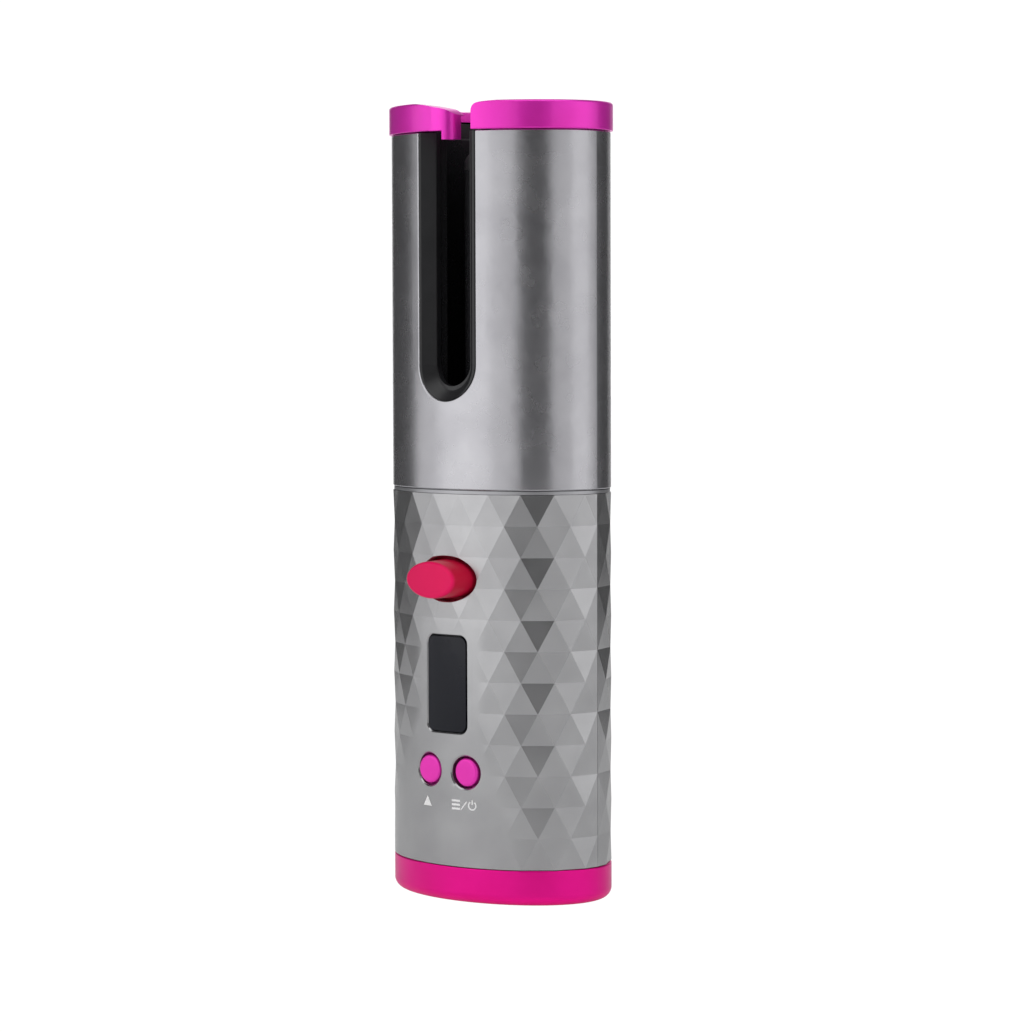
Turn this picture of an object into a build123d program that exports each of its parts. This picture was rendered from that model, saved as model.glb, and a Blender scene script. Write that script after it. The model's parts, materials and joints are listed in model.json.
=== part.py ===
from build123d import *
import os
from bisect import bisect_right
from math import acos, cos, hypot, pi, radians, sin, tan

os.makedirs("parts", exist_ok=True)

# ---------------------------------------------------------------- driving dimensions, mm
HEIGHT = 198.3            # overall height, standing on the base
HALF_W = 30.8             # half width of the oval body, along X
HALF_D = 21.8             # half depth of the oval body, along Y
CAP_STEP = 0.6            # how far the top cap stands proud of the body

BASE_TOP = 8.9            # base cap height
BASE_FLOOR = 2.0
BASE_WALL = 3.4
GRIP_Z0 = 9.1             # grip shells, lower end
GRIP_Z1 = 101.7           # grip shells, upper end
COLLAR_Z1 = 102.6         # top of the thin collar band
SLEEVE_Z0 = 102.8         # outer sleeve, lower end
SLEEVE_Z1 = 191.1         # outer sleeve, upper end
CAP_Z0 = 191.3            # top cap, lower edge
CAP_PLATE_Z = 195.0       # underside of the cap's top plate

GRIP_WALL = 2.1
SLEEVE_WALL = 1.6
COLLAR_BORE = 3.0         # inset of the collar's inner face
FACET_ROWS = 12
FACET_COLUMNS = 20
SEAM_GAP = 0.06           # half the gap between the two grip shells
FIT = 0.02                # gap between parts that seat on each other

SLOT_R = 9.0              # hair slot in the sleeve: half width and end radius
SLOT_INNER_R = 5.4        # hair slot in the chamber: half width and end radius
SLOT_CENTRE_Z = 133.7
SLOT_FLARE_R = 9.4        # mouth of the bezel's funnel

CHAMBER_R = 19.0          # chamber tube, outside
CHAMBER_BORE = 17.5
CHAMBER_Z0 = 112.0
CHAMBER_Z1 = 194.8
ROTOR_R = 16.9            # C-shaped winding drum, outside
ROTOR_BORE = 15.3
ROTOR_SLOT = 6.0          # half width of the drum's slot
ROTOR_Z0 = 114.8
ROTOR_Z1 = 190.8
HUB_R = 7.6
HUB_BORE = 5.6
CAP_HOLE_R = 16.75
CAP_DISH = 0.9            # how far the cap's top falls towards its hole
NOTCH_X = 8.5             # right side of the cap's entry notch
NOSE_X = 2.2              # left side of the notch, the tip of the nose
TAB_Z0 = 189.1            # lower end of the nose's tab

BARREL_R = 9.0            # heated barrel
BARREL_BORE = 7.6
BARREL_Z0 = 124.0
BARREL_Z1 = 182.0
POST_R = 4.5              # fixed post that carries the barrel

DECK_Z0 = 100.0           # gear deck of the chassis
DECK_Z1 = 102.0
MODULE = 0.8
GEAR_TEETH = 38
PINION_TEETH = 12
GEAR_X = MODULE * (GEAR_TEETH + PINION_TEETH) / 2   # motor axis, along X
GEAR_Z0 = 105.0
GEAR_Z1 = 109.5
SHAFT_R = 1.5
MOTOR_SCREW_X = 4.5       # motor screws, either side of the motor axis

TRIGGER_Z = 80.65
TRIGGER_PIVOT_Y = -14.5
TRIGGER_HALF_W = 8.0
TRIGGER_HALF_H = 4.85
TRIGGER_HOLE_W = 9.0      # half axes of the oval hole in the grip
TRIGGER_HOLE_H = 5.65
TRIGGER_TIP_Y = -28.0     # how far the trigger stands out
BUTTON_X = 5.85
BUTTON_Z = 32.7
BUTTON_R = 3.55
BUTTON_HOLE_R = 4.1
BUTTON_FRONT_Y = -21.3
LCD_Z0 = 42.5
LCD_Z1 = 66.4
LCD_W = 12.4
LCD_CORNER_R = 2.0
LCD_Z = (LCD_Z0 + LCD_Z1) / 2
LCD_H = LCD_Z1 - LCD_Z0

BOARD_FRONT = -10.4       # main board faces, along Y
BOARD_BACK = -8.8
BOARD_SCREW_X = 12.8
BOARD_SCREW_Z = (18.5, 95.0)
SWITCH_TRAVEL_GAP = 0.1   # left between a switch and what presses it, at full travel
SPINE_FRONT = -7.6        # chassis wall behind the board
SPINE_BACK = -6.2
PILLAR_X = 22.75          # screw pillars of the chassis and base
CELL_R = 9.15
CELL_X = 9.35
CELL_Y = 4.2
CELL_Z0 = 9.0
CELL_Z1 = 74.0
USB_Y = 14.2
USB_W = 8.94              # outside of the charging inlet
USB_H = 3.2
FAR = 60.0                # well outside the body
ABOVE = HEIGHT + 5.0      # above the body, where the slots' cutters end
FRONT = -30.0             # in front of the body, where the cutters of the front face start


# ---------------------------------------------------------------- helpers
def box(x0, x1, y0, y1, z0, z1):
    """Axis-aligned block between two corners."""
    centre = Pos((x0 + x1) / 2, (y0 + y1) / 2, (z0 + z1) / 2)
    return centre * Box(x1 - x0, y1 - y0, z1 - z0)


def rod(r, z0, z1, x=0.0, y=0.0):
    """Upright cylinder."""
    return Pos(x, y, (z0 + z1) / 2) * Cylinder(r, z1 - z0)


def pipe(r_out, r_in, z0, z1, x=0.0, y=0.0):
    """Upright tube."""
    return rod(r_out, z0, z1, x, y) - rod(r_in, z0 - 1, z1 + 1, x, y)


def rod_y(r, y0, y1, x, z):
    """Cylinder lying along Y."""
    return Pos(x, (y0 + y1) / 2, z) * Rot(90, 0, 0) * Cylinder(r, y1 - y0)


def oval(inset, z0, z1):
    """Solid of the body's oval section, moved inwards by inset."""
    return Pos(0, 0, z0) * extrude(Ellipse(HALF_W - inset, HALF_D - inset), z1 - z0)


def oval_ring(inset_out, inset_in, z0, z1):
    """Ring between two insets of the body's oval."""
    return oval(inset_out, z0, z1) - oval(inset_in, z0 - 1, z1 + 1)


def along_y(sketch, y0, y1, taper=0.0):
    """Extrude a sketch drawn in (X, Z), from y1 forwards to y0."""
    plane = Plane(origin=(0, y1, 0), x_dir=(1, 0, 0), z_dir=(0, -1, 0))
    return extrude(plane * sketch, y1 - y0, taper=taper)


def u_wire_face(r, top, y):
    """Face of a U with a round lower end, in the plane Y = y."""
    left = (-r, y, SLOT_CENTRE_Z)
    right = (r, y, SLOT_CENTRE_Z)
    low = (0, y, SLOT_CENTRE_Z - r)
    arc = Edge.make_three_point_arc(left, low, right)
    sides = Polyline(right, (r, y, top), (-r, y, top), left)
    return Face(Wire([arc] + list(sides.edges())))


def u_slot(r, top, y0, y1):
    """Straight U-shaped cutter along Y."""
    return Solid.extrude(u_wire_face(r, top, y1), Vector(0, y0 - y1, 0))


def lead(points, r, bend):
    """Round lead along straight runs joined by tangent arcs."""
    path = FilletPolyline(*points, radius=bend)
    return sweep(Plane(path @ 0, z_dir=path % 0) * Circle(r), path=path)


def screw(head_r, head_h, shank_r, length):
    """Cross-head screw standing on its head, its tip up."""
    recess = box(-0.6 * head_r, 0.6 * head_r, -0.2, 0.2, 0, 0.6)
    body = rod(head_r, 0, head_h) + rod(shank_r, head_h, length)
    return body - recess - Rot(0, 0, 90) * recess


def fillet_top(shape, radius):
    """Round the edges at the top of a shape."""
    return fillet(shape.edges().group_by(Axis.Z)[-1], radius)


def fillet_foot(shape, radius):
    """Round the edges at the foot of a shape."""
    return fillet(shape.edges().group_by(Axis.Z)[0], radius)


def arc_table(steps=7200):
    """Arc length round the oval from its +X end, at equal steps of angle."""
    table = [0.0]
    for i in range(steps):
        t = 2 * pi * (i + 0.5) / steps
        table.append(table[-1] + hypot(HALF_W * sin(t), HALF_D * cos(t)))
    return table


ARC = arc_table()


def oval_point(column, z):
    """Point on the oval after a number of facet columns of equal arc length from its +X end."""
    target = (column / FACET_COLUMNS) % 1.0 * ARC[-1]
    i = bisect_right(ARC, target) - 1
    t = 2 * pi * (i + (target - ARC[i]) / (ARC[i + 1] - ARC[i])) / (len(ARC) - 1)
    return Vector(HALF_W * cos(t), HALF_D * sin(t), z)


def faceted_body(z0, z1):
    """Oval body whose skin is a lattice of flat triangles with every corner on the oval.

    Every second ring is shifted by half a facet, and has a corner more at each end of the oval.
    """
    pitch = (z1 - z0) / FACET_ROWS
    plain = list(range(FACET_COLUMNS))
    shifted = sorted([k + 0.5 for k in plain] + [0, FACET_COLUMNS / 2])
    rings = {z0: shifted if FACET_ROWS % 2 == 0 else plain, z1: shifted}
    faces = [Face(Wire.make_polygon([oval_point(k, z) for k in ring])) for z, ring in rings.items()]
    for row in range(FACET_ROWS):
        top, low = z1 - row * pitch, z1 - (row + 1) * pitch
        z_shifted, z_plain = (top, low) if row % 2 == 0 else (low, top)
        for k in plain:
            corners = [oval_point(k, z_plain), oval_point(k + 1, z_plain), oval_point(k + 0.5, z_shifted)]
            faces.append(Face(Wire.make_polygon(corners)))
        for a, b in zip(shifted, shifted[1:] + [FACET_COLUMNS]):
            apex = round((a + b) / 2)
            corners = [oval_point(a, z_shifted), oval_point(b, z_shifted), oval_point(apex, z_plain)]
            faces.append(Face(Wire.make_polygon(corners)))
    return Solid(Shell(faces))


def spur_gear(teeth, z0, z1, bore, x, phase):
    """Involute spur gear on a vertical axis, with 25 degree pressure angle and backlash."""
    pressure = radians(25)
    pitch_r = MODULE * teeth / 2
    base_r = pitch_r * cos(pressure)
    tip_r = pitch_r + MODULE * 0.92
    root_r = pitch_r - MODULE * 1.2
    flank_r = max(base_r, root_r)
    half_at_pitch = pi / (2 * teeth) - 0.05 / pitch_r
    outline = []
    for k in range(teeth):
        mid = phase + 2 * pi * k / teeth
        flank = []
        for step in range(5):
            r = flank_r + (tip_r - flank_r) * step / 4
            alpha = acos(min(1.0, base_r / r))
            flank.append((r, half_at_pitch + tan(pressure) - pressure - (tan(alpha) - alpha)))
        foot = flank[0][1]
        profile = [(root_r, -foot)] + [(r, -a) for r, a in flank]
        profile += [(r, a) for r, a in reversed(flank)] + [(root_r, foot)]
        outline += [(r * cos(mid + a), r * sin(mid + a)) for r, a in profile]
    clean = [outline[0]]
    for point in outline[1:]:
        if hypot(point[0] - clean[-1][0], point[1] - clean[-1][1]) > 0.005:
            clean.append(point)
    blank = extrude(make_face(Polyline(*clean, close=True)), z1 - z0)
    return Pos(x, 0, z0) * blank - rod(bore, z0 - 1, z1 + 1, x)


def tact_switch(x, z, tip):
    """Push switch on the board, its plunger ending at Y = tip."""
    body = box(x - 3, x + 3, BOARD_FRONT - 3.5, BOARD_FRONT - 0.01, z - 3, z + 3)
    body = fillet(body.edges().filter_by(Axis.Y), 0.5)
    return body + rod_y(1.7, tip, BOARD_FRONT - 3.4, x, z)


def largest(shape):
    """The biggest solid of a result, without slivers."""
    return max(shape.solids(), key=lambda s: s.volume)


def save(name, *solids):
    """Write one node."""
    pieces = [s for shape in solids for s in shape.solids()]
    export_step(pieces[0] if len(pieces) == 1 else Compound(children=pieces), f"parts/{name}.step")


# ---------------------------------------------------------------- grip shells
grip = faceted_body(GRIP_Z0, GRIP_Z1) - oval(GRIP_WALL, 0, HEIGHT)
front = grip & box(-FAR, FAR, -FAR, -SEAM_GAP, 0, HEIGHT)
rear = grip & box(-FAR, FAR, SEAM_GAP, FAR, 0, HEIGHT)
front -= along_y(Pos(0, LCD_Z) * RectangleRounded(LCD_W, LCD_H, LCD_CORNER_R), FRONT, -10)
front -= along_y(Pos(0, TRIGGER_Z) * Ellipse(TRIGGER_HOLE_W, TRIGGER_HOLE_H), FRONT, -10)
for side in (-1, 1):
    front -= rod_y(BUTTON_HOLE_R, FRONT, -10, side * BUTTON_X, BUTTON_Z)
save("front_grip_shell", largest(front))

# The rear shell carries a tongue that reaches forwards inside the front shell and lines them up.
TONGUE_IN = 3.3           # inset of its inner face
TONGUE_Z0 = 15.0
TONGUE_Z1 = 94.0
TONGUE_REACH = 2.5        # how far it reaches past the seam
TONGUE_GAP = 0.25
tongue = oval_ring(GRIP_WALL, TONGUE_IN, TONGUE_Z0, TONGUE_Z1) & box(-FAR, FAR, 0.0, 3, 0, HEIGHT)
tongue += (oval_ring(GRIP_WALL + TONGUE_GAP, TONGUE_IN, TONGUE_Z0, TONGUE_Z1)
           & box(-FAR, FAR, -TONGUE_REACH, 0.1, 0, HEIGHT))
save("rear_grip_shell", rear + tongue)

# ---------------------------------------------------------------- collar between grip and sleeve
COLLAR_SHADOW = 0.25      # how far the visible band is set in
COLLAR_Z0 = 96.5
COLLAR_TOP = 110.5
SPIGOT_GAP = 0.2          # between a spigot and the wall round it
collar = oval_ring(COLLAR_SHADOW, COLLAR_BORE, GRIP_Z1 + 0.1, COLLAR_Z1)
collar += oval_ring(GRIP_WALL + SPIGOT_GAP, COLLAR_BORE, COLLAR_Z0, GRIP_Z1 + 0.2)
collar += oval_ring(SLEEVE_WALL + SPIGOT_GAP, COLLAR_BORE, COLLAR_Z1 - 0.1, COLLAR_TOP)
save("joint_collar", largest(collar))

# ---------------------------------------------------------------- outer sleeve
SLEEVE_EDGE = 0.3
SLOT_EDGE = 0.4
sleeve = fillet(oval(0, SLEEVE_Z0, SLEEVE_Z1).edges(), SLEEVE_EDGE) - oval(SLEEVE_WALL, 0, HEIGHT)
sleeve -= u_slot(SLOT_R, ABOVE, FRONT, -10)


def on_slot_rim(edge):
    """True for the long edges where the slot meets the outer face."""
    mid = edge @ 0.5
    outside = abs(hypot(mid.X / HALF_W, mid.Y / HALF_D) - 1) < 0.004
    beside = abs(abs(mid.X) - SLOT_R) < 0.01
    below = mid.Z < SLOT_CENTRE_Z and abs(hypot(mid.X, mid.Z - SLOT_CENTRE_Z) - SLOT_R) < 0.01
    return outside and mid.Y < 0 and edge.length > 2 and (beside or below)


save("outer_sleeve", fillet([e for e in sleeve.edges() if on_slot_rim(e)], SLOT_EDGE))

# ---------------------------------------------------------------- top cap
CAP_W = HALF_W + CAP_STEP
CAP_D = HALF_D + CAP_STEP
CAP_TOP_FILLET = 0.7
CAP_LOW_FILLET = 0.3
CAP_RIM = 1.2             # width of the rim round the dish
CAP_SPIGOT_Z = 187.5      # lower end of the spigot inside the sleeve
CAP_BLANK_Z = 180.0       # below the cap, where its cutters start
cap = fillet_foot(fillet_top(oval(-CAP_STEP, CAP_Z0, HEIGHT), CAP_TOP_FILLET), CAP_LOW_FILLET)
cap -= rod(CAP_HOLE_R, CAP_BLANK_Z, HEIGHT + 1)
cap -= Solid.make_loft([Wire.make_circle(CAP_HOLE_R, Plane((0, 0, HEIGHT - CAP_DISH))),
                        Wire.make_ellipse(CAP_W - CAP_RIM, CAP_D - CAP_RIM, Plane((0, 0, HEIGHT + 0.01)))],
                       ruled=True)
cap -= oval(COLLAR_BORE, CAP_Z0 - 1, CAP_PLATE_Z)
cap += oval_ring(SLEEVE_WALL + SPIGOT_GAP, COLLAR_BORE, CAP_SPIGOT_Z, CAP_Z0 + 0.1)
cap -= rod(CHAMBER_R + 0.15, CAP_BLANK_Z, CAP_PLATE_Z)
cap -= box(-12.5, 12.5, FRONT, -10, CAP_BLANK_Z, CAP_Z0)

# The nose: a rounded hook on the left of the notch, with a tab that hangs into the slot.
NOSE_BACK = -17.7
TAB_X = -0.6              # left side of the tab
nose = box(-4.4, 3.0, FRONT, NOSE_BACK, CAP_Z0, CAP_PLATE_Z + 0.2)
nose += box(TAB_X, 3.0, FRONT, NOSE_BACK, TAB_Z0, CAP_Z0)
cap += nose & oval(-CAP_STEP, TAB_Z0, HEIGHT)
nose_start = (-4.6, -22.19)
nose_end = (NOSE_X, -18.0)
nose_curve = Spline(nose_start, nose_end, tangents=((1, -0.106), (0, 1)))
notch_sides = Polyline(nose_end, (NOSE_X, -10), (NOTCH_X, -10), (NOTCH_X, FRONT), (nose_start[0], FRONT),
                       nose_start)
cap -= Pos(0, 0, CAP_BLANK_Z) * extrude(make_face([nose_curve] + list(notch_sides.edges())), 30)

# The rim dips in a long S towards the nose, and rises again in a short curve right of the notch.
DIP_X = 15.5              # the dip starts and ends here, on top of the cap
OVER = 0.02               # the cut starts just above the cap
dip_left = (2.3, HEIGHT - 3.2)
dip_right = (NOTCH_X, HEIGHT - 2.4)
left_dip = Spline((-DIP_X, HEIGHT + OVER), (-10.0, HEIGHT - 0.12), (-6.0, HEIGHT - 0.62),
                  (-2.7, HEIGHT - 1.22), (-0.9, HEIGHT - 1.54), (0.6, HEIGHT - 2.04), dip_left,
                  tangents=((1, 0), (1, -0.6)))
right_rise = Spline(dip_right, (8.75, HEIGHT - 1.5), (9.3, HEIGHT - 0.85), (10.0, HEIGHT - 0.53),
                    (11.6, HEIGHT - 0.27), (13.3, HEIGHT - 0.12), (DIP_X, HEIGHT + OVER))
dip_sides = Polyline((DIP_X, HEIGHT + OVER), (DIP_X, HEIGHT + 2), (-DIP_X, HEIGHT + 2),
                     (-DIP_X, HEIGHT + OVER))
dip_floor = Line(dip_left, dip_right)
cap -= along_y(make_face([left_dip, dip_floor, right_rise] + list(dip_sides.edges())), -26, -5)
save("top_cap", largest(cap))

# ---------------------------------------------------------------- slot bezel
BEZEL_R = 11.5            # outside of the bezel, behind the sleeve
BEZEL_TOP = SLEEVE_Z1 - 0.1
FUNNEL_Y = -18.0          # where the funnel narrows to the inner slot
funnel = Solid.make_loft([u_wire_face(SLOT_INNER_R, ABOVE, FUNNEL_Y).outer_wire(),
                          u_wire_face(SLOT_FLARE_R, ABOVE, FUNNEL_Y - 4.0).outer_wire()], ruled=True)
funnel += u_slot(SLOT_INNER_R, ABOVE, FUNNEL_Y - 0.1, -12.0)
bezel = u_slot(BEZEL_R, BEZEL_TOP, FRONT, -12) & oval(SLEEVE_WALL + 0.08, 110, SLEEVE_Z1)
bezel += u_slot(SLOT_R - 0.08, BEZEL_TOP, FRONT, FUNNEL_Y - 0.5) & oval(0.15, 110, SLEEVE_Z1)
bezel -= rod(CHAMBER_R + 0.05, 100, HEIGHT)
save("slot_bezel", largest(bezel - funnel))

# ---------------------------------------------------------------- winding chamber
LEG_CIRCLE_R = 18.1
legs = [(LEG_CIRCLE_R * cos(radians(a)), LEG_CIRCLE_R * sin(radians(a))) for a in (60, 130, 230, 300)]
chamber = fillet_top(pipe(CHAMBER_R, CHAMBER_BORE, CHAMBER_Z0, CHAMBER_Z1), 0.3)
chamber -= u_slot(SLOT_INNER_R, ABOVE, FRONT, -10)
chamber -= box(0, NOTCH_X, FRONT, -10, SLEEVE_Z1, HEIGHT)
chamber += rod(CHAMBER_R - 0.5, CHAMBER_Z0, CHAMBER_Z0 + 2) - rod(HUB_R + 0.4, 100, 120)
for x, y in legs:
    chamber += rod(1.75, DECK_Z1 + FIT, CHAMBER_Z0 + 1, x, y)
    chamber -= rod(0.92, DECK_Z1 - 1, DECK_Z1 + 7, x, y)
save("chamber_tube", largest(chamber))
save("chamber_screws", *[Pos(x, y, DECK_Z0 - 1.4) * screw(1.8, 1.38, 0.9, 9.4) for x, y in legs])

# ---------------------------------------------------------------- winding rotor
rotor = fillet_top(pipe(ROTOR_R, ROTOR_BORE, ROTOR_Z0, ROTOR_Z1), 0.45)
rotor += rod(ROTOR_R, ROTOR_Z0, ROTOR_Z0 + 2)
rotor += rod(HUB_R, GEAR_Z0 - 1, ROTOR_Z0 + 0.2)
ROTOR_SLOT_Z0 = 124.0     # lower end of the drum's slot
LIP_X = 7.0               # rounded lips inside the slot's edges, which catch the hair
LIP_Z0 = 122.0
LIP_Z1 = 188.0
rotor_slot = Pos(0, ROTOR_SLOT_Z0 + 36) * RectangleRounded(2 * ROTOR_SLOT, 72, 3.0)
rotor_slot += Pos(0, ROTOR_Z1) * Rectangle(2 * ROTOR_SLOT, 40)
rotor -= along_y(rotor_slot, FRONT, -5)
for side in (-1, 1):
    lip = box(side * LIP_X - 1.0, side * LIP_X + 1.0, -15.6, -13.0, LIP_Z0, LIP_Z1)
    rotor += fillet(lip.edges().filter_by(Axis.Z), 0.8)
rotor -= rod(HUB_BORE, 100, 120)
save("curl_rotor", largest(rotor))

MAGNET_Y = 11.3
gear = spur_gear(GEAR_TEETH, GEAR_Z0, GEAR_Z1, HUB_R + FIT, 0, 0.0)
gear -= pipe(13.0, 9.6, GEAR_Z0 + 2.2, GEAR_Z1 + 1) + rod(1.25, 100, GEAR_Z0 + 1.5, 0, MAGNET_Y)
save("rotor_gear", gear)
save("home_magnet", rod(1.2, GEAR_Z0 + 0.1, GEAR_Z0 + 1.45, 0, MAGNET_Y))

bush = pipe(HUB_BORE - 0.05, POST_R + 0.04, DECK_Z1 + FIT, 114.0)
bush += pipe(7.0, POST_R + 0.04, DECK_Z1 + FIT, 103.6)
save("rotor_bush", bush)

pinion_phase = pi + pi / PINION_TEETH
pinion = spur_gear(PINION_TEETH, GEAR_Z0 - 0.2, GEAR_Z1 + 0.2, SHAFT_R + FIT, GEAR_X, pinion_phase)
save("drive_pinion", pinion + pipe(2.6, SHAFT_R + FIT, 103.4, GEAR_Z0 - 0.1, GEAR_X))
save("motor_shaft", rod(SHAFT_R, 92.0, GEAR_Z1 + 0.5, GEAR_X))

# ---------------------------------------------------------------- heated barrel
POST_Z0 = 98.4            # the post's flange lies under the deck
POST_Z1 = 121.0
POST_BORE = 3.0           # the heater's leads run down through it
barrel_post = rod(POST_R, POST_Z0, POST_Z1) + rod(6.0, POST_Z0, DECK_Z0 - FIT)
save("barrel_post", barrel_post - rod(POST_BORE, 90, 130))
barrel_collar = rod(8.4, 117.6, BARREL_Z0 - 0.1) + rod(BARREL_BORE - 0.15, BARREL_Z0 - 0.5, BARREL_Z0 + 2)
barrel_collar -= rod(POST_R + FIT, 110, POST_Z1 + 0.05) + rod(POST_BORE + 0.2, 110, 130)
save("barrel_collar", fillet(barrel_collar.edges().group_by(Axis.Z)[0][-1:], 0.6))
save("heating_barrel", pipe(BARREL_R, BARREL_BORE, BARREL_Z0, BARREL_Z1))
TIP_Z1 = 187.0
tip = fillet_top(rod(BARREL_R, BARREL_Z1 + 0.1, TIP_Z1), 3.5)
save("barrel_tip", tip + rod(BARREL_BORE - 0.1, 178.5, BARREL_Z1 + 0.2))
SENSOR_Y = 4.6
HEATER_HALF = 1.6         # half thickness of the heater plate
HEATER_Z0 = 127.5
HEATER_Z1 = 176.5
spreader = rod(BARREL_BORE - 0.05, HEATER_Z0 - 0.5, HEATER_Z1 + 1.0)
spreader -= box(-9, 9, -HEATER_HALF - 0.1, HEATER_HALF + 0.1, 120, 180)
save("heat_spreader", spreader - rod(1.5, 120, 180, 0, SENSOR_Y))
save("heater_element", box(-5.4, 5.4, -HEATER_HALF, HEATER_HALF, HEATER_Z0, HEATER_Z1))
save("thermal_sensor", fillet(rod(1.35, 146, 160, 0, SENSOR_Y).edges(), 0.5))

# ---------------------------------------------------------------- gear motor
MOTOR_HALF_Y = 5.0        # the can and gearbox are flattened to this
MOTOR_R = 6.0
MOTOR_Z0 = 78.5
GEARBOX_Z0 = 91.5
gearbox = box(GEAR_X - MOTOR_R, GEAR_X + MOTOR_R, -MOTOR_HALF_Y, MOTOR_HALF_Y, GEARBOX_Z0, DECK_Z0 - 0.05)
gearbox = fillet(gearbox.edges().filter_by(Axis.Z), 0.8)
for z in (93.6, 96.6):
    for y in (-5.15, 5.15):
        gearbox -= box(GEAR_X - 7, GEAR_X + 7, y - 0.85, y + 0.85, z, z + 1.6)
can = rod(MOTOR_R, MOTOR_Z0, GEARBOX_Z0 + 0.1, GEAR_X)
can &= box(GEAR_X - 7, GEAR_X + 7, -MOTOR_HALF_Y, MOTOR_HALF_Y, 70, 100)
motor = gearbox + can + rod(3.0, MOTOR_Z0 - 1.2, MOTOR_Z0 + 0.1, GEAR_X) + rod(2.0, 99.8, 101.2, GEAR_X)
motor -= rod(SHAFT_R + 0.05, 91.8, 103, GEAR_X)
motor_screw_x = [GEAR_X + side * MOTOR_SCREW_X for side in (-1, 1)]
for x in motor_screw_x:
    motor -= rod(0.82, 94.5, 101, x)
save("gear_motor", motor)
motor_screw = Rot(180, 0, 0) * screw(1.4, 1.08, 0.8, 7.6)
save("motor_screws", *[Pos(x, 0, DECK_Z1 + 1.1) * motor_screw for x in motor_screw_x])

# ---------------------------------------------------------------- chassis
deck = oval(COLLAR_BORE + 0.05, DECK_Z0, DECK_Z1)
deck -= rod(POST_R + 0.05, 90, 110) + rod(2.3, 90, 110, GEAR_X)
for x, y in legs:
    deck -= rod(1.1, 90, 110, x, y)
for x in motor_screw_x:
    deck -= rod(0.9, 90, 110, x)
SPINE_HALF_W = 24.0
SPINE_Z0 = 14.0
spine = box(-SPINE_HALF_W, SPINE_HALF_W, SPINE_FRONT, SPINE_BACK, SPINE_Z0, DECK_Z0 + 0.5)
# Windows for the leads: the heater's and battery's, the motor's, the charging inlet's.
for x0, x1, z0, z1 in ((-8, 8, 73.5, 97), (11, 22.5, 72, 80), (-20.8, -16.2, SPINE_Z0 - 1, 20)):
    spine -= box(x0, x1, -9, -5, z0, z1)
chassis = deck + spine
PILLAR_FOOT = 5.2
PILLAR_HALF_W = 1.25
PILLAR_BACK = 8.0
BOSS_TOP = 13.0
for side, top in ((-1, DECK_Z0 + 0.5), (1, 71.0)):   # the right one ends below the motor
    x = side * PILLAR_X
    chassis += box(x - PILLAR_HALF_W, x + PILLAR_HALF_W, SPINE_FRONT, PILLAR_BACK, PILLAR_FOOT, top)
    chassis += rod(2.6, PILLAR_FOOT, BOSS_TOP, x)
    chassis -= rod(0.97, 4, BOSS_TOP - 1, x)
board_holes = [(x, z) for x in (-BOARD_SCREW_X, BOARD_SCREW_X) for z in BOARD_SCREW_Z]
for x, z in board_holes:
    chassis += rod_y(2.2, BOARD_BACK + FIT, -7.0, x, z)
    chassis -= rod_y(0.82, -10, -5, x, z)
save("chassis_frame", largest(chassis))

# ---------------------------------------------------------------- battery
cells = [fillet(rod(CELL_R, CELL_Z0, CELL_Z1, side * CELL_X, CELL_Y).edges(), 0.6) for side in (-1, 1)]
save("battery_cells", *cells)
TRAY_Y = (-5.6, 4.0)
LINK_Y = (4.05, 7.2)
LINK_GAP = 0.1            # between a link and the cell's end
LINK_T = 0.25
tray = box(-19, 19, *TRAY_Y, CELL_Z0 - 1.2, CELL_Z1 + 1.4)
for side in (-1, 1):
    tray -= rod(CELL_R + 0.08, CELL_Z0 - 0.45, CELL_Z1 + 0.45, side * CELL_X, CELL_Y)
save("battery_tray", tray)
low_link = box(-14, 14, *LINK_Y, CELL_Z0 - LINK_GAP - LINK_T, CELL_Z0 - LINK_GAP)
tabs = [box(side * CELL_X - 4, side * CELL_X + 4, *LINK_Y, CELL_Z1 + LINK_GAP, CELL_Z1 + LINK_GAP + LINK_T)
        for side in (-1, 1)]
save("cell_links", low_link, *tabs)

# ---------------------------------------------------------------- main board
BOARD_HALF_W = 15.0
BOARD_Z = (16.0, 97.5)
board = box(-BOARD_HALF_W, BOARD_HALF_W, BOARD_FRONT, BOARD_BACK, *BOARD_Z)
for x, z in board_holes:
    board -= rod_y(1.0, -12, -8, x, z)
save("main_board", board)
board_screw = Rot(-90, 0, 0) * screw(1.5, 1.18, 0.8, 5.2)
save("board_screws", *[Pos(x, BOARD_FRONT - 1.2, z) * board_screw for x, z in board_holes])
# Chips on the board's front: centre X and Z, width, height, thickness.
CHIPS = [(-4.5, 20.4, 7.0, 7.0, 1.0), (4.5, 20.4, 5.0, 6.0, 1.6), (9.4, 24.0, 3.0, 4.0, 1.1),
         (-10.4, 24.4, 3.0, 3.0, 1.1), (-11.4, 47.0, 3.6, 5.0, 1.4), (11.4, 47.0, 3.6, 5.0, 1.4),
         (11.4, 60.0, 4.4, 4.4, 2.2), (-11.4, 62.0, 3.0, 6.0, 1.2)]
save("board_parts", *[box(x - w / 2, x + w / 2, BOARD_FRONT - t, BOARD_FRONT - 0.01, z - h / 2, z + h / 2)
                      for x, z, w, h, t in CHIPS])
BUZZER_AT = (-7.5, 92.6)
buzzer = rod_y(4.2, BOARD_FRONT - 3.2, BOARD_FRONT - 0.01, *BUZZER_AT)
save("buzzer", buzzer - rod_y(0.8, BOARD_FRONT - 4, BOARD_FRONT - 2.4, *BUZZER_AT))

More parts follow.
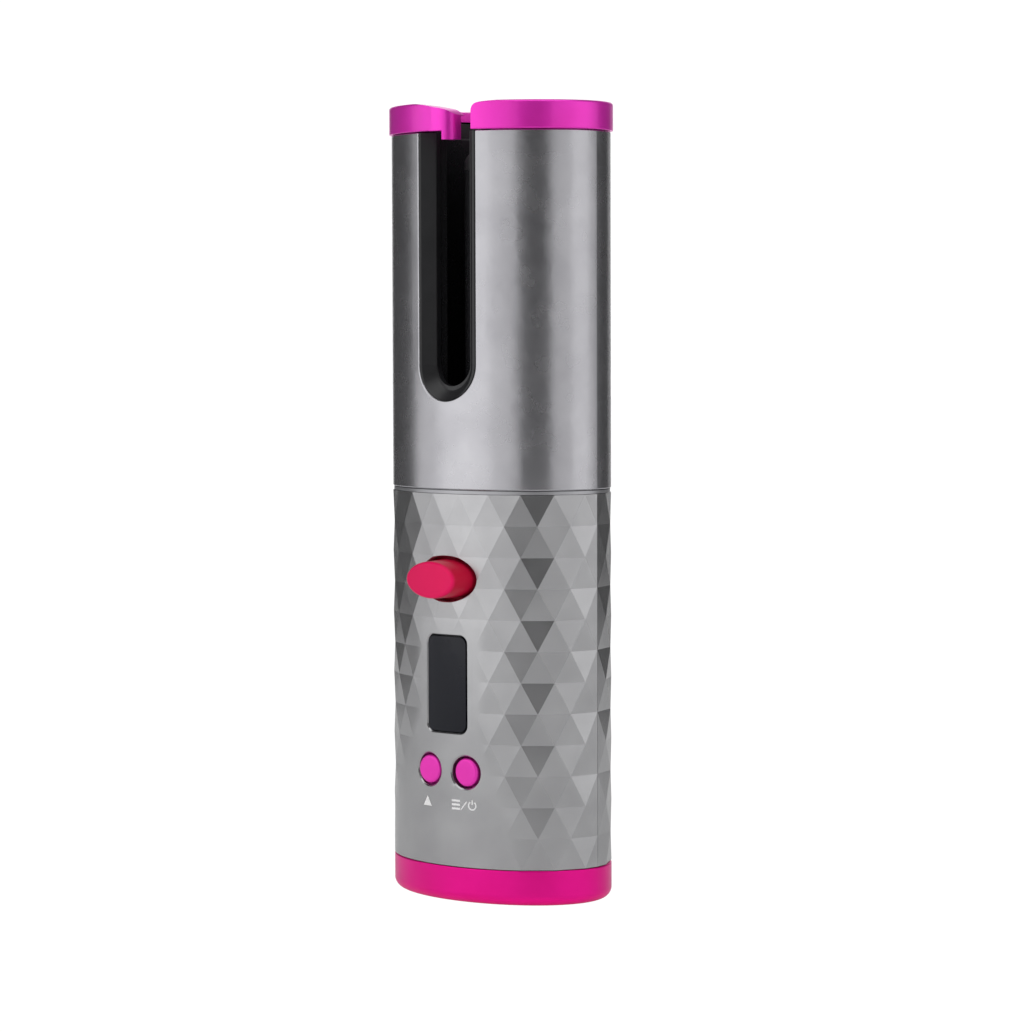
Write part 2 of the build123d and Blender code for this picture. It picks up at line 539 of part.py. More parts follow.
# ---------------------------------------------------------------- display
LENS_INSET = 0.1          # the lens lies just inside the body's skin
LENS_BACK = 2.9
LENS_GAP = 0.15           # between the lens and its opening, all round
FLANGE_RIM = 1.3          # how far the flange reaches behind the wall
lens = along_y(Pos(0, LCD_Z) * RectangleRounded(LCD_W - 2 * LENS_GAP, LCD_H - 2 * LENS_GAP,
                                                LCD_CORNER_R - LENS_GAP), FRONT, -10)
lens &= oval_ring(LENS_INSET, LENS_BACK, 30, 80)
flange = along_y(Pos(0, LCD_Z) * RectangleRounded(LCD_W + 2 * FLANGE_RIM, LCD_H + 2 * FLANGE_RIM, 3.0),
                 FRONT, -10)
save("lcd_window", lens + (flange & oval_ring(GRIP_WALL + 0.05, LENS_BACK, 30, 80)))
MODULE_HALF_W = 7.2
save("lcd_module", box(-MODULE_HALF_W, MODULE_HALF_W, -18.1, -16.0, LCD_Z0 - 1.2, LCD_Z1 + 0.9))
holder = box(-8.3, 8.3, -17.5, BOARD_FRONT - 0.01, LCD_Z0 - 2.3, LCD_Z1 + 2.0)
holder -= box(-MODULE_HALF_W - 0.05, MODULE_HALF_W + 0.05, -19, -15.95, LCD_Z0 - 1.25, LCD_Z1 + 0.95)
holder -= box(-6.4, 6.4, -16.5, -10, LCD_Z0, LCD_Z1 - 0.2)
save("lcd_holder", holder)

# ---------------------------------------------------------------- direction trigger
trigger_oval = Pos(0, TRIGGER_Z) * Ellipse(TRIGGER_HALF_W, TRIGGER_HALF_H)
TRIGGER_WAIST_Y = -19.0   # the tapered head starts here
FLANGE_FRONT_Y = -17.3    # flange behind the grip's wall, which hides the opening
FLANGE_BACK_Y = -16.1     # its back works the switches
BLOCK_HALF = 4.5          # half height of the pivot block
PIN_R = 1.0
trigger = along_y(trigger_oval, TRIGGER_TIP_Y, TRIGGER_WAIST_Y, taper=1.9)
trigger = fillet(trigger.edges().group_by(Axis.Y)[0], 0.9)
trigger += along_y(trigger_oval, TRIGGER_WAIST_Y - 0.1, -17.0)
trigger += along_y(Pos(0, TRIGGER_Z) * Ellipse(TRIGGER_HOLE_W + 0.7, TRIGGER_HOLE_H + 0.6),
                   FLANGE_FRONT_Y, FLANGE_BACK_Y)
trigger += box(-3.2, 3.2, FLANGE_BACK_Y - 0.1, -12.9, TRIGGER_Z - BLOCK_HALF, TRIGGER_Z + BLOCK_HALF)
trigger -= rod(PIN_R + 0.05, 60, 100, 0, TRIGGER_PIVOT_Y)
save("trigger", trigger)
save("trigger_pin", rod(PIN_R, 71.2, 90.0, 0, TRIGGER_PIVOT_Y))
BRACKET_Z = (71.8, 89.4)
BRACKET_ARM = 2.1         # thickness of the arms that hold the pin
bracket = box(-3.4, 3.4, -12.1, BOARD_FRONT - 0.01, *BRACKET_Z)
for z0 in (BRACKET_Z[0], BRACKET_Z[1] - BRACKET_ARM):
    bracket += box(-3.4, 3.4, -16.2, -11.5, z0, z0 + BRACKET_ARM)
save("trigger_bracket", bracket - rod(PIN_R + FIT, 60, 100, 0, TRIGGER_PIVOT_Y))
coil = Helix(pitch=0.5, height=1.5, radius=1.22)
coil = sweep(Plane(coil @ 0, z_dir=coil % 0) * Circle(0.17), path=coil)
save("trigger_spring", Pos(0, TRIGGER_PIVOT_Y, 85.5) * coil)
TRIGGER_SWITCH_X = 7.2
TRIGGER_SWITCH_TIP = -15.4   # clear of the flange at full tilt
save("trigger_switches", *[tact_switch(side * TRIGGER_SWITCH_X, TRIGGER_Z, TRIGGER_SWITCH_TIP)
                           for side in (-1, 1)])

# ---------------------------------------------------------------- push buttons
BUTTON_TRAVEL = 0.5
BUTTON_FLANGE_Y = -18.0   # front of the flange that keeps a button in
STEM_Y = -15.05           # inner end of a button's stem
STEM_R = 1.8
for side, name in ((-1, "left_button"), (1, "right_button")):
    x = side * BUTTON_X
    head = rod_y(BUTTON_R, BUTTON_FRONT_Y, BUTTON_FLANGE_Y, x, BUTTON_Z)
    head = fillet(head.edges().group_by(Axis.Y)[0], 0.7)
    head += rod_y(BUTTON_HOLE_R + 0.5, BUTTON_FLANGE_Y, BUTTON_FLANGE_Y + 0.9, x, BUTTON_Z)
    save(name, head + rod_y(STEM_R, BUTTON_FLANGE_Y + 0.8, STEM_Y, x, BUTTON_Z))
button_switch_tip = STEM_Y + BUTTON_TRAVEL + SWITCH_TRAVEL_GAP
save("button_switches", *[tact_switch(side * BUTTON_X, BUTTON_Z, button_switch_tip) for side in (-1, 1)])
frame = box(-12, 12, -16.2, -15.4, BUTTON_Z - 6, BUTTON_Z + 6)
for side in (-1, 1):
    frame -= rod_y(STEM_R + 0.06, -20, -10, side * BUTTON_X, BUTTON_Z)
    for dz in (-4.6, 4.6):
        frame += rod_y(1.1, -15.5, BOARD_FRONT - 0.01, side * 10.5, BUTTON_Z + dz)
save("button_frame", frame)

# ---------------------------------------------------------------- rotor home sensor
sensor = box(-4, 4, 8.6, 14.2, DECK_Z1 + FIT, DECK_Z1 + 0.8)
save("home_sensor", sensor + box(-2, 2, 10.3, 12.3, DECK_Z1 + 0.7, DECK_Z1 + 2.0))

# ---------------------------------------------------------------- base cap and charging inlet
BASE_FOOT_FILLET = 2.6
BASE_SPIGOT_Z = 13.0
RECESS_TOP = 2.4          # the base screws' heads lie in recesses
base = fillet_top(fillet_foot(oval(0, 0, BASE_TOP), BASE_FOOT_FILLET), 0.3)
base += oval(GRIP_WALL + SPIGOT_GAP, BASE_TOP - 1, BASE_SPIGOT_Z)
base -= oval(BASE_WALL, BASE_FLOOR, 20)
base -= extrude(Pos(0, USB_Y) * RectangleRounded(USB_W + 0.66, USB_H + 0.7, 1.9), 5, both=True)
for side in (-1, 1):
    x = side * PILLAR_X
    base += rod(3.0, 1.5, PILLAR_FOOT - 0.05, x)
    base -= rod(1.15, -1, 8, x) + rod(2.2, -1, RECESS_TOP, x)
save("base_cap", largest(base))
base_screw = screw(1.9, RECESS_TOP - 0.95, 0.95, 10.1)
save("base_screws", *[Pos(side * PILLAR_X, 0, 0.9) * base_screw for side in (-1, 1)])

USB_WALL = 0.3
inlet = Pos(0, USB_Y, 0.5) * extrude(RectangleRounded(USB_W, USB_H, 1.5), 6.7)
inlet -= Pos(0, USB_Y, 0.4) * extrude(RectangleRounded(USB_W - 2 * USB_WALL, USB_H - 2 * USB_WALL, 1.25), 5.6)
inlet += Pos(0, USB_Y, 1.4) * extrude(Rectangle(6.7, 0.7), 5.0)
save("usb_receptacle", inlet)
save("usb_board", box(-7, 7, USB_Y + 1.65, USB_Y + 2.65, 2.3, 16))

# ---------------------------------------------------------------- internal leads
BOARD_TOUCH = BOARD_BACK + 0.1   # the leads stop just short of the board's back
HEATER_LEAD_Z = 94.0
save("heater_leads", *[lead([(x, 0, HEATER_Z0 - 0.2), (x, 0, HEATER_LEAD_Z), (x, BOARD_TOUCH, HEATER_LEAD_Z)],
                            0.55, 3.0) for x in (-1.4, 1.4)])
MOTOR_LEAD_Z = 76.9
save("motor_leads", *[lead([(x0, -3.2, 78.4), (x0, -3.2, MOTOR_LEAD_Z), (x1, -6.3, MOTOR_LEAD_Z),
                            (x1, BOARD_TOUCH, MOTOR_LEAD_Z)], 0.45, 0.6)
                      for x0, x1 in ((GEAR_X - 1.5, 12.6), (GEAR_X + 1.5, 14.0))])
BATTERY_LEAD_Z = 77.2
save("battery_leads", *[lead([(9.0 * side, 6, 74.4), (9.0 * side, 6, BATTERY_LEAD_Z),
                              (4.5 * side, -5, BATTERY_LEAD_Z), (4.5 * side, BOARD_TOUCH, BATTERY_LEAD_Z)],
                             0.5, 1.2) for side in (-1, 1)])
save("charge_leads", *[lead([(-5.5, 15.2, z), (-10.5, 14.8, z), (-16.0, 12.4, z), (-20.2, 7.0, z + 1.6),
                             (-20.2, -6.3, z + 3.0), (-17.4, -8.2, z + 3.0), (end_x, -8.2, z + 3.0),
                             (end_x, -8.2, 19.0)], 0.4, 1.0)
                       for end_x, z in ((-8.0, 11.4), (-9.5, 12.4))])
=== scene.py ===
"""Looks of the automatic hair curler: faceted grip shells, control marks, finishes, camera and light."""
import json
import math
from collections import namedtuple

import bmesh
import bpy
from mathutils import Euler, Matrix, Vector


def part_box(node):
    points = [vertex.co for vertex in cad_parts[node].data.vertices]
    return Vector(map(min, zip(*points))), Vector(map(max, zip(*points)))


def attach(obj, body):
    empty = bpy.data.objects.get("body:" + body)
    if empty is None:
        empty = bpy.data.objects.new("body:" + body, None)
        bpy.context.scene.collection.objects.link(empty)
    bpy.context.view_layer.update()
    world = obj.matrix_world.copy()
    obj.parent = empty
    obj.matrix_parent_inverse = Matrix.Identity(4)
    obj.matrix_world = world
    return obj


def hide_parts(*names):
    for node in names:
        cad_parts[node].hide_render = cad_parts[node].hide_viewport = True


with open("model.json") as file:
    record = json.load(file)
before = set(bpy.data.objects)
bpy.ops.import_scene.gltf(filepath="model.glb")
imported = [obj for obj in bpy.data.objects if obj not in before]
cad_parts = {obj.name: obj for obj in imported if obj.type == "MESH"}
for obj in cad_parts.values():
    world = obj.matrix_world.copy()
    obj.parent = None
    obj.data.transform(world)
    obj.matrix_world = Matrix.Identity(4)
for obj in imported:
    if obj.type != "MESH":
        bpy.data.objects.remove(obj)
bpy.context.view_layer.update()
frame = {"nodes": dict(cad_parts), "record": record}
NODES = frame["nodes"]
SCENE = bpy.context.scene


def centre(node):
    low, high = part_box(node)
    return (low + high) / 2


# ---------------------------------------------------------------- sizes, in metres
MM = 0.001
SLEEVE_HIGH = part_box("outer_sleeve")[1]
HALF_W = SLEEVE_HIGH.x                 # half width of the oval body
HALF_D = SLEEVE_HIGH.y                 # half depth of the oval body
GRIP_Z0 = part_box("front_grip_shell")[0].z
GRIP_Z1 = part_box("front_grip_shell")[1].z
GRIP_WALL = 2.1 * MM
SEAM_GAP = 0.05 * MM                   # half the gap between the two grip shells

TRIGGER = centre("trigger")
LENS = centre("lcd_window")
LEFT_KEY = centre("left_button")
RIGHT_KEY = centre("right_button")
TRIGGER_FACE_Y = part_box("trigger")[0].y

# Half width and half height of each opening in the front shell.
TRIGGER_OPENING = (9.0 * MM, 5.65 * MM)
LENS_OPENING = (6.3 * MM, 12.1 * MM)
KEY_OPENING = (4.1 * MM, 4.1 * MM)
LENS_CORNER = 2.0 * MM                 # corner radius of the display's opening
EDGE = 0.32 * MM                       # bevel round the openings

ROWS = 12                              # rows of facets up the grip
COLUMNS = 10                           # facets along each shell
ROW_HEIGHT = (GRIP_Z1 - GRIP_Z0) / ROWS
SPLIT = 6                              # each facet is split this many times along its sides

# ---------------------------------------------------------------- the oval
ARC_STEPS = 3600


def arc_table():
    """Arc length from the front centre round a quarter of the oval."""
    table = [0.0]
    for i in range(ARC_STEPS):
        t = math.pi / 2 * (i + 0.5) / ARC_STEPS
        rate = math.hypot(HALF_W * math.cos(t), HALF_D * math.sin(t))
        table.append(table[-1] + rate * math.pi / 2 / ARC_STEPS)
    return table


ARC = arc_table()


def oval_at(share):
    """Front point at a share of the quarter's length: -1 left seam, 0 front centre, 1 right seam."""
    target = min(abs(share), 1.0) * ARC[-1]
    low, high = 0, len(ARC) - 1
    while high - low > 1:
        mid = (low + high) // 2
        low, high = (mid, high) if ARC[mid] <= target else (low, mid)
    part = (target - ARC[low]) / (ARC[high] - ARC[low])
    t = math.pi / 2 * (low + part) / (len(ARC) - 1)
    return math.copysign(HALF_W * math.sin(t), share), -HALF_D * math.cos(t)


def share_at(x, y):
    """Share of the quarter's length at an oval point, the other way round from oval_at."""
    t = math.atan2(abs(x) / HALF_W, abs(y) / HALF_D)
    place = t / (math.pi / 2) * (len(ARC) - 1)
    low = min(int(place), len(ARC) - 2)
    return math.copysign((ARC[low] + (ARC[low + 1] - ARC[low]) * (place - low)) / ARC[-1], x)


def oval_y(x, inset):
    """Y of the front face at X, moved inwards by inset."""
    return -(HALF_D - inset) * math.sqrt(max(0.0, 1 - (x / (HALF_W - inset)) ** 2))


def oval_normal(point):
    return Vector((point.x / HALF_W ** 2, point.y / HALF_D ** 2, 0)).normalized()


def oval_reach(point):
    """1 on the oval, less inside it."""
    return math.hypot(point.x / HALF_W, point.y / HALF_D)


def on_oval(point):
    """The point moved straight out on to the oval."""
    reach = oval_reach(point)
    return Vector((point.x / reach, point.y / reach, point.z))


def mesh_from(name, bm):
    """Turns a finished bmesh into an object in the scene."""
    mesh = bpy.data.meshes.new(name)
    bm.to_mesh(mesh)
    bm.free()
    piece = bpy.data.objects.new(name, mesh)
    SCENE.collection.objects.link(piece)
    return piece


# ---------------------------------------------------------------- lattice of facets
# The smooth field round the controls, on each side of the middle, in mm: its half width high up,
# how much wider it is low down, the heights between which it widens, and how softly it ends.
Field = namedtuple("Field", "half flare low high fade")
RIGHT_FIELD = Field(half=10.5, flare=8.5, low=8, high=48, fade=4.5)
LEFT_FIELD = Field(half=9.5, flare=19.0, low=12, high=52, fade=6.0)
FIELD_END = (66, 74)                   # heights between which the facets close over the field


def smooth_step(low, high, value):
    t = min(1.0, max(0.0, (value - low) / (high - low)))
    return t * t * (3 - 2 * t)


def facet_weight(x, z):
    """1 where the front facets are flat and crisp, 0 where they melt into the oval round the controls."""
    across, up = x / MM, z / MM
    field = RIGHT_FIELD if across >= 0 else LEFT_FIELD
    edge = field.half + field.flare * (1 - smooth_step(field.low, field.high, up))
    beside = smooth_step(edge - field.fade / 2, edge + field.fade / 2, abs(across))
    return max(beside, smooth_step(*FIELD_END, up))


def facet_corners():
    """The front lattice as corner triples (share, z): rows of triangles, every second line shifted."""
    half = COLUMNS // 2
    for row in range(ROWS):
        top = GRIP_Z1 - row * ROW_HEIGHT
        low = top - ROW_HEIGHT
        shifted, plain = (top, low) if row % 2 == 0 else (low, top)
        for k in range(-half, half + 1):
            left, right = max(-half, k - 0.5), min(half, k + 0.5)
            yield (left / half, shifted), (right / half, shifted), (k / half, plain)
            if k < half:
                yield (k / half, plain), ((k + 1) / half, plain), ((k + 0.5) / half, shifted)


def facet_points(corners):
    return [Vector((*oval_at(share), z)) for share, z in corners]


def facet_normal(points):
    normal = (points[1] - points[0]).cross(points[2] - points[0]).normalized()
    outward = Vector((sum(p.x for p in points), sum(p.y for p in points), 0))
    return normal if normal.dot(outward) > 0 else -normal


# ---------------------------------------------------------------- grip shells
KEY_SCALE = 1e7                        # points closer than a ten-millionth of a metre are one vertex


def facet_cells():
    """Small triangles that fill one facet, as index triples of its split grid."""
    upright = [((i, j), (i + 1, j), (i, j + 1)) for i in range(SPLIT) for j in range(SPLIT - i)]
    hanging = [((i + 1, j), (i + 1, j + 1), (i, j + 1))
               for i in range(SPLIT) for j in range(SPLIT - 1 - i)]
    return upright + hanging


def grip_shell(name, rear):
    """One grip shell: faceted outside, smooth inside, closed all round."""
    bm = bmesh.new()
    outer, inner = {}, {}

    def skin_vertex(flat):
        """Vertex of the outer skin for a point of a flat facet, with its partner on the inner wall."""
        base = on_oval(flat)
        weight = 1.0 if rear else facet_weight(base.x, base.z)
        skin = base.lerp(flat, weight)
        skin.y = min(skin.y, -SEAM_GAP)
        key = tuple(round(value * KEY_SCALE) for value in skin)
        if key not in outer:
            core = Vector((base.x * (1 - GRIP_WALL / HALF_W), base.y * (1 - GRIP_WALL / HALF_D), base.z))
            core.y = min(core.y, -SEAM_GAP)
            outer[key] = bm.verts.new(skin)
            inner[outer[key]] = bm.verts.new(core)
        return outer[key]

    for corners in facet_corners():
        a, b, c = facet_points(corners)
        grid = {(i, j): skin_vertex(a + (b - a) * (i / SPLIT) + (c - a) * (j / SPLIT))
                for i in range(SPLIT + 1) for j in range(SPLIT + 1 - i)}
        for cell in facet_cells():
            bm.faces.new([grid[at] for at in cell])
            bm.faces.new([inner[grid[at]] for at in cell])
    skins = set(inner)
    rims = [e.verts[:] for e in bm.edges if e.is_boundary and e.verts[0] in skins and e.verts[1] in skins]
    for v0, v1 in rims:
        bm.faces.new((v0, v1, inner[v1], inner[v0]))
    if rear:
        bmesh.ops.scale(bm, vec=(1, -1, 1), verts=bm.verts)
    bmesh.ops.recalc_face_normals(bm, faces=bm.faces)
    return mesh_from(name, bm)


# ---------------------------------------------------------------- openings
OVAL_STEPS = 120                       # points round an oval opening
CORNER_STEPS = 24                      # steps round one corner of the display's opening
SIDE_STEP = 1.2 * MM                   # longest step along its straight sides
CUTTER_PROUD = 3 * MM                  # how far a cutter stands out of the front face
CUTTER_DEPTH = 6 * MM                  # how far it reaches in


def oval_outline(x, z, half_w, half_h, grow):
    """Outline of an ellipse in (X, Z), moved outwards by grow."""
    angles = [2 * math.pi * i / OVAL_STEPS for i in range(OVAL_STEPS)]
    return [(x + (half_w + grow) * math.cos(a), z + (half_h + grow) * math.sin(a)) for a in angles]


def rounded_outline(x, z, half_w, half_h, grow):
    """Outline of a rounded rectangle in (X, Z), moved outwards by grow."""
    corners = []
    for corner, (sx, sz) in enumerate(((1, 1), (-1, 1), (-1, -1), (1, -1))):
        for step in range(CORNER_STEPS + 1):
            angle = math.pi / 2 * (corner + step / CORNER_STEPS)
            corners.append((x + sx * (half_w - LENS_CORNER) + (LENS_CORNER + grow) * math.cos(angle),
                            z + sz * (half_h - LENS_CORNER) + (LENS_CORNER + grow) * math.sin(angle)))
    points = []
    for point, after in zip(corners, corners[1:] + corners[:1]):
        count = math.ceil(math.dist(point, after) / SIDE_STEP)
        points += [(point[0] + (after[0] - point[0]) * n / count,
                    point[1] + (after[1] - point[1]) * n / count) for n in range(count)]
    return points


def opening_cutter(outline, place, half_sizes):
    """Closed cutter for one opening, flared by a small bevel where it meets the outer face."""
    bm = bmesh.new()
    rings = []
    flared = 2 * EDGE
    for grow, depth in ((flared, -CUTTER_PROUD), (flared, -EDGE), (0.0, EDGE), (0.0, CUTTER_DEPTH)):
        ring = outline(place.x, place.z, *half_sizes, grow)
        rings.append([bm.verts.new((x, oval_y(x, depth), z)) for x, z in ring])
    count = len(rings[0])
    for near, far in zip(rings, rings[1:]):
        for i in range(count):
            bm.faces.new((near[i], near[(i + 1) % count], far[(i + 1) % count], far[i]))
    bm.faces.new(rings[0])
    bm.faces.new(list(reversed(rings[-1])))
    bmesh.ops.recalc_face_normals(bm, faces=bm.faces)
    return mesh_from("cutter", bm)


def cut(piece, cutters):
    """Takes the cutters out of the piece and applies the result."""
    for cutter in cutters:
        modifier = piece.modifiers.new("cut", "BOOLEAN")
        modifier.operation = "DIFFERENCE"
        modifier.solver = "EXACT"
        modifier.object = cutter
    bpy.context.view_layer.update()
    result = bpy.data.meshes.new_from_object(piece.evaluated_get(bpy.context.evaluated_depsgraph_get()))
    piece.modifiers.clear()
    piece.data = result
    for cutter in cutters:
        bpy.data.objects.remove(cutter)


# ---------------------------------------------------------------- shading normals of the facets
SHARP_ANGLE = math.radians(25)         # edges sharper than this stay sharp
SKIN_REACH = 0.95                      # a face further in than this share of the oval isn't the skin
SKIN_FACING = 0.9                      # nor is one whose normal is further off the oval's (a cosine)
SHARE_SLACK = 1e-6


def facets_by_row():
    """Corners and normals of the facets of each row, counted from 1 at the top."""
    rows = {}
    for corners in facet_corners():
        low = min(z for _, z in corners)
        entry = (corners, facet_normal(facet_points(corners)))
        rows.setdefault(round((GRIP_Z1 - low) / ROW_HEIGHT), []).append(entry)
    return rows


def facet_normal_at(rows, point):
    """Normal of the facet under a point of the front half, or None."""
    share = share_at(point.x, point.y)
    row = min(ROWS, max(1, math.ceil((GRIP_Z1 - point.z) / ROW_HEIGHT)))
    for ((s0, z0), (s1, _), (s2, z2)), normal in rows[row]:
        part = (point.z - z0) / (z2 - z0)
        if s0 + (s2 - s0) * part - SHARE_SLACK <= share <= s1 + (s2 - s1) * part + SHARE_SLACK:
            return normal
    return None


def crisp_normals(piece, rear):
    """Exact shading normals: flat on each facet, melting into the oval's where the facets fade."""
    mesh = piece.data
    mesh.shade_smooth()
    mesh.set_sharp_from_angle(angle=SHARP_ANGLE)
    rows = facets_by_row()
    flip = -1 if rear else 1           # the rear shell is looked up as its mirror image
    normals = [Vector(n.vector) for n in mesh.corner_normals]
    for polygon in mesh.polygons:
        middle = Vector((polygon.center.x, polygon.center.y * flip, polygon.center.z))
        facing = Vector((polygon.normal.x, polygon.normal.y * flip, polygon.normal.z))
        if oval_reach(middle) < SKIN_REACH or facing.dot(oval_normal(middle)) < SKIN_FACING:
            continue
        found = facet_normal_at(rows, middle)
        if found is None:
            continue
        for loop in polygon.loop_indices:
            at = mesh.vertices[mesh.loops[loop].vertex_index].co
            point = Vector((at.x, at.y * flip, at.z))
            weight = 1.0 if rear else facet_weight(point.x, point.z)
            mixed = oval_normal(point).lerp(found, weight).normalized()
            normals[loop] = Vector((mixed.x, mixed.y * flip, mixed.z))
    mesh.normals_split_custom_set([tuple(n) for n in normals])


# ---------------------------------------------------------------- control marks
MARK_TOP = -0.03 * MM                  # inset of a mark's face, so it stands proud of the grip
MARK_FOOT = 0.05 * MM                  # inset of its foot, inside the grip
TRIANGLE_X, TRIANGLE_Z = -0.63 * MM, -9.2 * MM         # middle of its base, from the left key
TRIANGLE_HALF = 1.5 * MM
TRIANGLE_HEIGHT = 2.5 * MM
BARS_X, BARS_Z = -2.77 * MM, -8.14 * MM                # middle of the bars, from the right key
BAR_HALF = 1.25 * MM
BAR_STEP = 1.0 * MM
BAR_WIDTH = 0.5 * MM
STROKE_LOW = (1.5 * MM, -1.2 * MM)                     # ends of the stroke, from the bars
STROKE_HIGH = (3.2 * MM, 0.9 * MM)
STROKE_WIDTH = 0.3 * MM
RING_X = 4.79 * MM                                     # middle of the power ring, from the bars
RING_RADII = (0.85 * MM, 1.2 * MM)
RING_START = 125                                       # degrees, at the left end of its gap
RING_SWEEP = 290
RING_STEPS = 14
STEM_LOW, STEM_HIGH = 0.25 * MM, 1.4 * MM              # ends of the stroke in the ring's gap
STEM_WIDTH = 0.32 * MM


def mark_prism(bm, outline):
    """Thin raised print on the front face, from an outline in (X, Z)."""
    top = [bm.verts.new((x, oval_y(x, MARK_TOP), z)) for x, z in outline]
    low = [bm.verts.new((x, oval_y(x, MARK_FOOT), z)) for x, z in outline]
    bm.faces.new(top)
    bm.faces.new(list(reversed(low)))
    for i in range(len(top)):
        j = (i + 1) % len(top)
        bm.faces.new((top[i], top[j], low[j], low[i]))


def bar(x0, z0, x1, z1, width):
    """Outline of a straight stroke."""
    along = Vector((x1 - x0, z1 - z0)).normalized() * (width / 2)
    side = Vector((-along.y, along.x))
    return [(x0 + side.x, z0 + side.y), (x0 - side.x, z0 - side.y),
            (x1 - side.x, z1 - side.y), (x1 + side.x, z1 + side.y)]


def open_ring(x, z):
    """Outline of a ring with a gap at the top: round its outer edge and back along the inner one."""
    inside, outside = RING_RADII
    angles = [math.radians(RING_START + RING_SWEEP * step / RING_STEPS) for step in range(RING_STEPS + 1)]
    route = [(outside, a) for a in angles] + [(inside, a) for a in reversed(angles)]
    return [(x + radius * math.cos(a), z + radius * math.sin(a)) for radius, a in route]


def control_marks():
    """Plain symbols under the keys: a triangle, then three bars, a stroke and a power ring."""
    bm = bmesh.new()
    x, z = LEFT_KEY.x + TRIANGLE_X, LEFT_KEY.z + TRIANGLE_Z
    mark_prism(bm, [(x - TRIANGLE_HALF, z), (x + TRIANGLE_HALF, z), (x, z + TRIANGLE_HEIGHT)])
    x, z = RIGHT_KEY.x + BARS_X, RIGHT_KEY.z + BARS_Z
    for step in (-1, 0, 1):
        line = z + step * BAR_STEP
        mark_prism(bm, bar(x - BAR_HALF, line, x + BAR_HALF, line, BAR_WIDTH))
    mark_prism(bm, bar(x + STROKE_LOW[0], z + STROKE_LOW[1], x + STROKE_HIGH[0], z + STROKE_HIGH[1],
                       STROKE_WIDTH))
    x += RING_X
    mark_prism(bm, open_ring(x, z))
    mark_prism(bm, bar(x, z + STEM_LOW, x, z + STEM_HIGH, STEM_WIDTH))
    bmesh.ops.recalc_face_normals(bm, faces=bm.faces)
    return mesh_from("control_marks", bm)


# ---------------------------------------------------------------- materials
NOISE_LOW, NOISE_HIGH = 0.25, 0.75     # the range that a noise texture mostly stays in
WORN_LOW, WORN_HIGH = 0.57, 0.75       # pointiness where wear starts, and where it is full
SPRAY_GRAIN = 0.02 * MM                # depth of the bump in sprayed and machined finishes
MOULD_GRAIN = 0.03 * MM                # depth of the bump in moulded finishes
PLASTIC_GRAIN_SCALE = 900.0
TRIGGER_STEM_SHADE_DEPTHS = (0.15 * MM, 1.2 * MM)   # depths behind the trigger's front between which the pink deepens into painted shade
TRIGGER_SHADE = (-8 * MM, 4 * MM)      # X between which painted light makes the trigger's face lighter


def scaled(colour, factor):
    return tuple(factor * channel for channel in colour)


class Paint:
    """A node material with a Principled shader and short helpers."""

    def __init__(self, name, **inputs):
        self.material = bpy.data.materials.new(name)
        self.material.use_nodes = True
        self.tree = self.material.node_tree
        self.shader = self.tree.nodes["Principled BSDF"]
        for key, value in inputs.items():
            self.shader.inputs[key.replace("_", " ")].default_value = value
        self.place = self.add("ShaderNodeTexCoord").outputs["Object"]

    def add(self, kind, **settings):
        node = self.tree.nodes.new(kind)
        for key, value in settings.items():
            setattr(node, key, value)
        return node

    def join(self, source, target):
        self.tree.links.new(source, target)

    def colour(self, tone, roughness=None):
        """Joins the colour, and the roughness if it varies, to the shader."""
        self.join(tone, self.shader.inputs["Base Color"])
        if roughness:
            self.join(roughness, self.shader.inputs["Roughness"])

    def noise(self, scale, detail, rough=0.5, stretch=None):
        place = self.place
        if stretch:
            mapping = self.add("ShaderNodeMapping")
            mapping.inputs["Scale"].default_value = stretch
            self.join(place, mapping.inputs["Vector"])
            place = mapping.outputs["Vector"]
        node = self.add("ShaderNodeTexNoise")
        node.inputs["Scale"].default_value = scale
        node.inputs["Detail"].default_value = detail
        node.inputs["Roughness"].default_value = rough
        self.join(place, node.inputs["Vector"])
        return node.outputs["Fac"]

    def ramp(self, value, from_low, from_high, to_low=0.0, to_high=1.0):
        """Maps a value from one range to another, held at the ends."""
        node = self.add("ShaderNodeMapRange")
        node.inputs["From Min"].default_value = from_low
        node.inputs["From Max"].default_value = from_high
        node.inputs["To Min"].default_value = to_low
        node.inputs["To Max"].default_value = to_high
        self.join(value, node.inputs["Value"])
        return node.outputs["Result"]

    def spread(self, noise, low, high):
        """Noise mapped to the range from low to high."""
        return self.ramp(noise, NOISE_LOW, NOISE_HIGH, low, high)

    def mix(self, factor, first, second):
        """Colour between first and second, each a fixed colour or the output of a node."""
        node = self.add("ShaderNodeMix", data_type="RGBA")
        sockets = {s.name: s for s in node.inputs if s.type == "RGBA"}
        for socket, value in ((sockets["A"], first), (sockets["B"], second)):
            if hasattr(value, "links"):
                self.join(value, socket)
            else:
                socket.default_value = (*value, 1)
        self.join(factor, next(s for s in node.inputs if s.name == "Factor" and s.type == "VALUE"))
        return next(s for s in node.outputs if s.type == "RGBA")

    def bump(self, height, strength, distance):
        node = self.add("ShaderNodeBump")
        node.inputs["Strength"].default_value = strength
        node.inputs["Distance"].default_value = distance
        self.join(height, node.inputs["Height"])
        self.join(node.outputs["Normal"], self.shader.inputs["Normal"])

    def worn(self):
        """How worn a place is: 0 on flat stretches and up to 1 on sharp convex edges."""
        geometry = self.add("ShaderNodeNewGeometry")
        return self.ramp(geometry.outputs["Pointiness"], WORN_LOW, WORN_HIGH)


